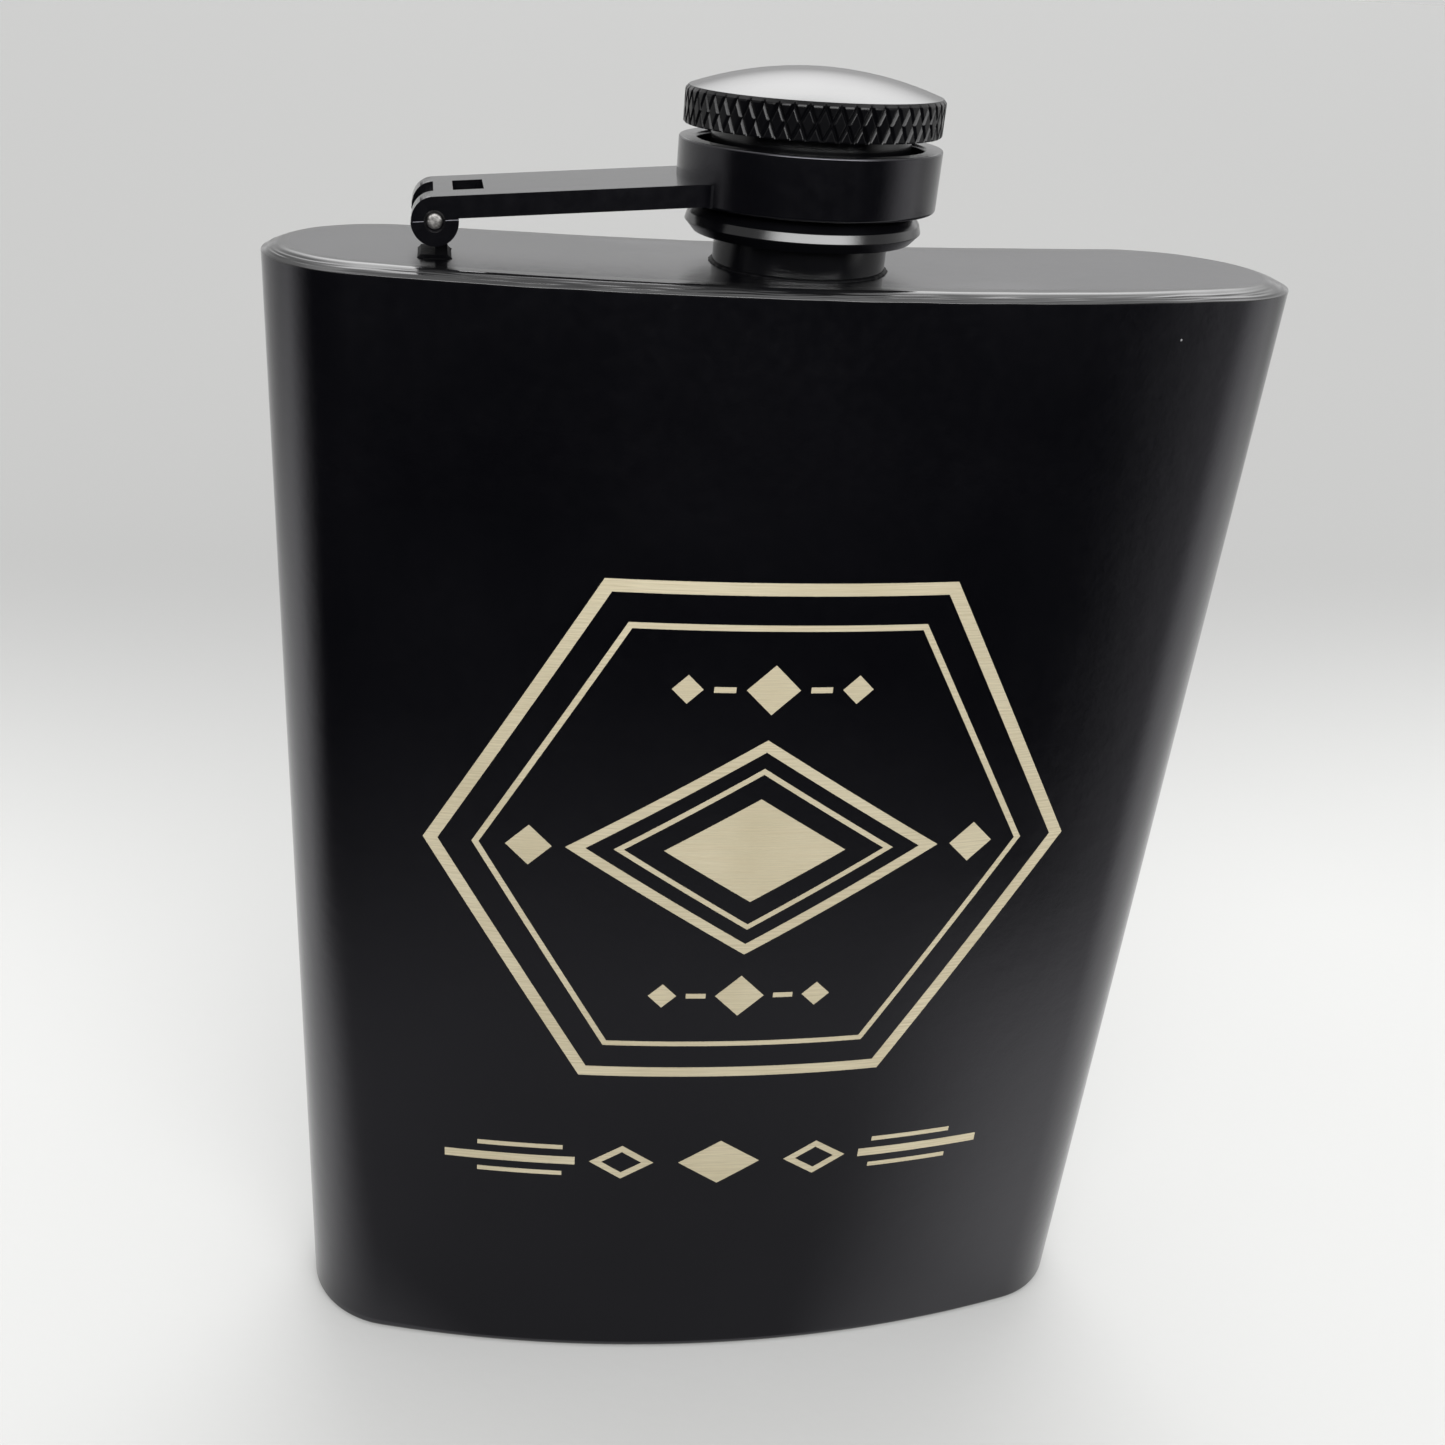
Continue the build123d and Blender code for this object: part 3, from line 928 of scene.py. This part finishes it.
def make_arm():
    bar = arm_blank()
    far = 2 * ARM_TOP           # well clear of the arm
    cuts = (
        (rectangle(-2 * far, WINDOW_END, -far, SLOT_ROOF), SLOT_HALF_WIDTH),
        (rectangle(-2 * far, BRIDGE_START, 0, far), SLOT_HALF_WIDTH),
        (rectangle(BRIDGE_END, WINDOW_END, 0, far), SLOT_HALF_WIDTH),
        (rectangle(POCKET_START, POCKET_END, -far, POCKET_ROOF), POCKET_HALF_WIDTH),
    )
    for outline, half in cuts:
        combine(bar, prism("cut", outline, -half, half, arm_place, CAST), "DIFFERENCE")
    bevelled(bar, 0.13)
    for sign in (-1, 1):
        add_flash(bar, sign)
        drill_ear(bar, sign)

    profile = rounded(
        (COLLAR_BORE, COLLAR_BOTTOM, 0.15),
        (COLLAR_RADIUS, COLLAR_BOTTOM, 0.22),
        (COLLAR_RADIUS, COLLAR_TOP, 0.16),
        (COLLAR_BORE, COLLAR_TOP, 0.3),
        (COLLAR_BORE, GUIDE_TOP, 0),
        (GUIDE_BORE, GUIDE_TOP, 0.1),
        (GUIDE_BORE, GUIDE_BOTTOM, 0.1),
        (COLLAR_BORE, GUIDE_BOTTOM, 0),
    )
    combine(bar, lathe("collar", profile, CAST, 192), "UNION")
    shade(bar.data, 32)
    finish_piece(weighted(bar), "arm", "arm_coat", "swing_arm")


def make_pin():
    """The pin's ends are hammered over into shallow, slightly lopsided heads."""
    heads = ((0.06, 0), (0.3, 0.004), (0.6, 0.012), (0.82, 0.03), (0.94, 0.07), (1, 0.16))
    rings = []
    for sign in (-1, 1):
        ends = []
        for share, back in heads:
            ring = []
            for a in TAU * np.arange(40) / 40:
                flats = 0.05 * (0.5 + 0.5 * math.cos(6 * a + sign)) if 0.5 < share < 1 else 0
                radius = PIN_RADIUS * share * (1 - flats)
                dent = abs(ripple(0.03, 3 * share * math.cos(a), 3 * share * math.sin(a), sign))
                across = sign * (ARM_HALF_WIDTH - PIN_RECESS - back - dent)
                ring.append(arm_place(radius * math.cos(a), radius * math.sin(a), across))
            ends.append(ring)
        rings += ends[::-sign]
    pin = loft("pin", rings, PIN_STEEL, wrap=False, sharp_angle=50)
    finish_piece(pin, "arm", "bare_steel", "hinge_pin")


make_arm()
make_pin()

# ------------ cap


def make_washer():
    top = HEAD_BOTTOM - BOSS_DEPTH - REST_GAP
    bottom = top - GASKET_THICKNESS
    profile = rounded(
        (GASKET_HOLE, bottom, 0.2),
        (GASKET_RADIUS, bottom, 0.3),
        (GASKET_RADIUS, top, 0.3),
        (GASKET_HOLE, top, 0.2),
    )
    finish_piece(weighted(lathe("washer", profile, SILICONE)), "washer", "silicone", "cap_gasket")


def make_sleeve():
    outside = rounded(
        (SLEEVE_BORE, SLEEVE_BOTTOM, 0.12),
        (FLANGE_LOWER_RADIUS, SLEEVE_BOTTOM, 0.16),
        (FLANGE_RADIUS - 0.02, FLANGE_HEIGHT, 0.07),
        (FLANGE_RADIUS - 0.24, FLANGE_HEIGHT + 0.72, 0.14),
        (FLANGE_SHOULDER, FLANGE_SHOULDER_HEIGHT, 0.1),
        (SLEEVE_RADIUS, CONE_TOP, 0.2),
        (SLEEVE_RADIUS, HEAD_BOTTOM, 0),
        (SLEEVE_BORE, HEAD_BOTTOM, 0),
    )
    start = SLEEVE_THREAD_START
    heights = np.linspace(start + THREAD_TURNS * THREAD_PITCH + 0.2, start - 0.3, 96)
    profile = outside + [(SLEEVE_BORE, z) for z in heights]
    ridges = thread(SLEEVE_BORE, SLEEVE_THREAD_CREST, start)
    sleeve = lathe("sleeve", profile, TURNED, 192, ridges)
    finish_piece(weighted(sleeve), "cap", "cap_coat", "cap_sleeve")


def knurl_depth(height, angles):
    """How deep the two families of grooves cut at this height."""
    pitch = TAU / KNURL_STARTS
    depth = np.zeros(len(angles))
    for lean in (-1, 1):
        turn = angles + lean * (height - HEAD_BOTTOM) * math.tan(KNURL_LEAN) / HEAD_RADIUS
        off = np.abs((turn + pitch / 2) % pitch - pitch / 2) * HEAD_RADIUS * math.cos(KNURL_LEAN)
        share = np.clip(1 - off / KNURL_HALF_WIDTH, 0, 1)
        depth = np.maximum(depth, KNURL_DEPTH * share)
    return depth


def make_cap_top():
    """The head. The rows of its knurled band are so far apart that a groove moves on by exactly one
    column from one row to the next, which keeps every groove's edges straight."""
    count = KNURL_STARTS * 24
    rise = TAU * HEAD_RADIUS / count / math.tan(KNURL_LEAN)
    flat_radius = HEAD_RADIUS - HEAD_CHAMFER
    ball = (flat_radius**2 + DOME_RISE**2) / (2 * DOME_RISE)
    boss = HEAD_BOTTOM - BOSS_DEPTH
    under = ((1.0, boss), (SLEEVE_BORE - 0.15, boss), (SLEEVE_BORE, boss + 0.12))
    under += ((SLEEVE_BORE, HEAD_BOTTOM), (HEAD_RADIUS - 0.6, HEAD_BOTTOM))
    rings = [circle(radius, height, count) for radius, height in under]
    rows = int((HEAD_RIM - HEAD_BOTTOM) / rise)
    for height in (*(HEAD_BOTTOM + rise * np.arange(rows + 1)), HEAD_RIM):
        eased = max(0, HEAD_BOTTOM + HEAD_EASE - height, HEAD_CHAMFER - (HEAD_RIM - height))

        def band(angles):
            return HEAD_RADIUS - np.maximum(eased, knurl_depth(height, angles))

        rings.append(circle(band, height, count))
    for share in (0.994, 0.985, 0.97, 0.95, 0.9, 0.8, 0.68, 0.55, 0.42, 0.3, 0.2, 0.1, 0.03):
        radius = flat_radius * share
        height = HEAD_RIM + DOME_RISE - ball + math.sqrt(ball**2 - radius**2)
        rings.append(circle(radius, height, count))
    head = loft("cap_top", rings, TURNED, wrap=False, sharp_angle=24)
    head.data.materials.append(KNURLED)
    for face in head.data.polygons:
        across = math.hypot(face.center.x / MM - AXIS.x, face.center.y / MM - AXIS.y)
        face.material_index = int(across > flat_radius and face.normal.z < 0.99)
    finish_piece(head, "cap", "cap_coat", "cap_head")


make_washer()
make_sleeve()
make_cap_top()

# ------------ mark on the front


def front_y(x):
    """Where the front face is at x."""
    centre = AXIS.y - DEPTH / 2 + FRONT_RADIUS
    return centre - math.sqrt(FRONT_RADIUS**2 - x**2)


def inlay(name, shapes):
    """Thin closed tiles that follow the front face, from outlines in (x, z), counter-clockwise seen
    from the front."""
    made = bmesh.new()
    for shape in shapes:
        front = [made.verts.new((x, -INLAY_PROUD, z)) for x, z in shape]
        back = [made.verts.new((x, INLAY_SUNK, z)) for x, z in shape]
        made.faces.new(front)
        made.faces.new(back[::-1])
        for i in range(len(shape)):
            j = (i + 1) % len(shape)
            made.faces.new((front[j], front[i], back[i], back[j]))
    across, upwards = ((1, 0, 0), -40, 40, INLAY_STEP), ((0, 0, 1), 20, 110, 3 * INLAY_STEP)
    for normal, low, high, step in (across, upwards):
        for cut in np.arange(low, high, step):
            bmesh.ops.bisect_plane(
                made, geom=made.verts[:] + made.edges[:] + made.faces[:],
                plane_co=Vector(normal) * (cut + 0.013), plane_no=normal,
            )
    for vertex in made.verts:
        vertex.co.y += front_y(vertex.co.x) + wall_draw(vertex.co.x, -1, vertex.co.z)
        vertex.co *= MM
    mesh = bpy.data.meshes.new(name)
    made.to_mesh(mesh)
    made.free()
    finish_piece(add_object(name, mesh, ENGRAVED), "root", "bare_steel")


def hexagon_frame(centre, outer, inner):
    """A hexagon of mitred strips between two radii."""
    rays = [(math.cos(a), math.sin(a)) for a in TAU * np.arange(7) / 6]
    around = [[(centre[0] + r * c, centre[1] + r * d) for c, d in rays] for r in (outer, inner)]
    return [[around[0][i], around[0][i + 1], around[1][i + 1], around[1][i]] for i in range(6)]


def lozenge(centre, half_x, half_z):
    x, z = centre
    return [(x + half_x, z), (x, z + half_z), (x - half_x, z), (x, z - half_z)]


def lozenge_frame(centre, half_x, half_z, stroke):
    """Four mitred strips round a lozenge."""
    outer = lozenge(centre, half_x, half_z)
    share = 1 - stroke * math.hypot(half_x, half_z) / (half_x * half_z)
    inner = lozenge(centre, half_x * share, half_z * share)
    return [[outer[i], outer[(i + 1) % 4], inner[(i + 1) % 4], inner[i]] for i in range(4)]


def make_mark():
    """A generic mark: lozenges in a double hexagon."""
    x, z = MARK_CENTRE
    shapes = []
    for outer, inner in MARK_LINES:
        shapes += hexagon_frame(MARK_CENTRE, outer, inner)
    for half_x, half_z, stroke in MARK_LOZENGES:
        shapes += lozenge_frame(MARK_CENTRE, half_x, half_z, stroke)
    shapes.append(lozenge(MARK_CENTRE, 9.2, 6.0))
    for side in (-1, 1):
        row = z + side * MARK_ROW
        shapes.append(lozenge((x + side * 22.6, z), 2.3, 2.3))
        shapes.append(lozenge((x, row), 2.6, 2.6))
        for end in (-1, 1):
            shapes.append(lozenge((x + end * 8.2, row), 1.5, 1.5))
            dash = sorted((x + end * 3.6, x + end * 5.7))
            shapes.append(rectangle(*dash, row - 0.3, row + 0.3))
    inlay("front_mark", shapes)


def make_divider():
    """A plain rule with lozenges under the mark."""
    x, z = DIVIDER_CENTRE
    shapes = [lozenge(DIVIDER_CENTRE, 4.6, 3.1)]
    for side in (-1, 1):
        shapes += lozenge_frame((x + side * 11.0, z), 3.6, 2.4, 0.75)
    for side in (-1, 1):
        long = sorted((x + side * 16.2, x + side * 30.6))
        short = sorted((x + side * 17.6, x + side * 27.0))
        shapes.append(rectangle(*long, z - 0.55, z + 0.55))
        for lift in (-1.9, 1.9):
            shapes.append(rectangle(*short, z + lift - 0.3, z + lift + 0.3))
    inlay("front_divider", shapes)


make_mark()
make_divider()

# ------------ floor, lights, camera


def add_grid(name, points, columns, rows, material):
    """An open sheet that is part of the studio, from points in metres that come row by row."""
    mesh = bpy.data.meshes.new(name)
    mesh.from_pydata(points, [], grid_faces(columns, rows))
    sheet = add_object(name, mesh, material)
    return sheet


def add_floor():
    size, cells = 12.0, 24
    places = [size * (2 * i / cells - 1) for i in range(cells + 1)]
    points = [(x, y, 0) for y in places for x in places]
    add_grid("floor", points, cells, cells, floor_material("floor_pale"))


def add_flag():
    """A dark soft-edged card that curves round the front of the flask and is seen only in
    reflections: it keeps the front dark."""
    steps, start, end = 60, math.radians(-193), math.radians(-10)
    profile = ((0.012, 0.001), (0.03, 0.001), (0.14, 0.004), (0.162, 0.02), (0.166, 0.18))
    angles = [start + (end - start) * i / steps for i in range(steps + 1)]
    points = [(r * math.cos(a), r * math.sin(a), z) for r, z in profile for a in angles]
    flag = add_grid("flag", points, steps, len(profile) - 1, flag_material("flag_dark"))
    flag.visible_camera = flag.visible_shadow = flag.visible_diffuse = False


def add_world():
    """A soft light tent. Each ramp gives the radiance by the sine of the height above the horizon:
    behind the flask, ahead of it, where a broad soft light hangs, and beside it. The camera itself
    sees a plain pale backdrop."""
    peak, backdrop = 14.0, 0.63
    world = bpy.data.worlds.new("studio")
    bpy.context.scene.world = world
    world.use_nodes = True
    nodes, links = world.node_tree.nodes, world.node_tree.links
    split = nodes.new("ShaderNodeSeparateXYZ")
    links.new(nodes.new("ShaderNodeTexCoord").outputs["Generated"], split.inputs[0])

    def grey(radiance):
        return (radiance / peak, radiance / peak, radiance / peak, 1)

    def ramp(*stops):
        node = nodes.new("ShaderNodeValToRGB")
        elements = node.color_ramp.elements
        while len(elements) < len(stops):
            elements.new(0.5)
        for element, (place, radiance) in zip(elements, stops):
            element.position, element.color = place, grey(radiance)
        links.new(split.outputs["Z"], node.inputs["Fac"])
        return node.outputs["Color"]

    def mix(factor, a, b):
        both = nodes.new("ShaderNodeMix")
        both.data_type = "RGBA"
        links.new(factor, both.inputs["Factor"])
        links.new(a, both.inputs[6])
        if b is None:
            both.inputs[7].default_value = grey(backdrop)
        else:
            links.new(b, both.inputs[7])
        return both.outputs[2]

    def turned_to(axis, low, high, a, b):
        """a where the direction is low on the axis, b where it is high."""
        share = nodes.new("ShaderNodeMapRange")
        share.interpolation_type = "SMOOTHSTEP"
        links.new(split.outputs[axis], share.inputs["Value"])
        share.inputs["From Min"].default_value = low
        share.inputs["From Max"].default_value = high
        return mix(share.outputs["Result"], a, b)

    behind = ramp(
        (0, 0.63), (0.03, 0.4), (0.08, 0.5), (0.13, 0.68), (0.22, 0.6),
        (0.42, 2.7), (0.64, 5.1), (0.76, 4.5), (0.88, 6.5), (1, 1),
    )
    ahead = ramp((0, 0.63), (0.14, 0.8), (0.28, 13.5), (0.46, 13.5), (0.56, 1), (0.85, 1), (1, 1))
    beside = ramp(
        (0, 0.63), (0.04, 0.6), (0.12, 1.3), (0.22, 0.7),
        (0.5, 0.6), (0.7, 0.9), (0.88, 2.5), (1, 1),
    )
    light = turned_to("Y", 0.15, 0.55, beside, behind)
    light = turned_to("X", 0.42, 0.7, light, beside)
    light = turned_to("X", -0.1, -0.34, light, beside)
    light = turned_to("Y", -0.55, -0.82, light, ahead)
    light = mix(nodes.new("ShaderNodeLightPath").outputs["Is Camera Ray"], light, None)
    links.new(light, nodes["Background"].inputs["Color"])
    nodes["Background"].inputs["Strength"].default_value = peak


def add_camera():
    data = bpy.data.cameras.new("camera")
    data.sensor_width = 36
    data.lens = 38.285
    data.shift_x, data.shift_y = 0.0839, 0.0325
    data.clip_start, data.clip_end = 0.01, 50
    camera = bpy.data.objects.new("camera", data)
    heading = Matrix.Rotation(-CAMERA_AZIMUTH, 4, "Z")
    tilt = Matrix.Rotation(math.pi / 2 - CAMERA_DEPRESSION, 4, "X")
    roll = Matrix.Rotation(CAMERA_ROLL, 4, "Z")
    camera.matrix_world = Matrix.Translation(CAMERA_PLACE * MM) @ (heading @ tilt) @ roll
    bpy.context.scene.collection.objects.link(camera)
    bpy.context.scene.camera = camera


add_floor()
add_flag()
add_world()
add_camera()
bpy.context.scene.view_settings.view_transform = "Standard"
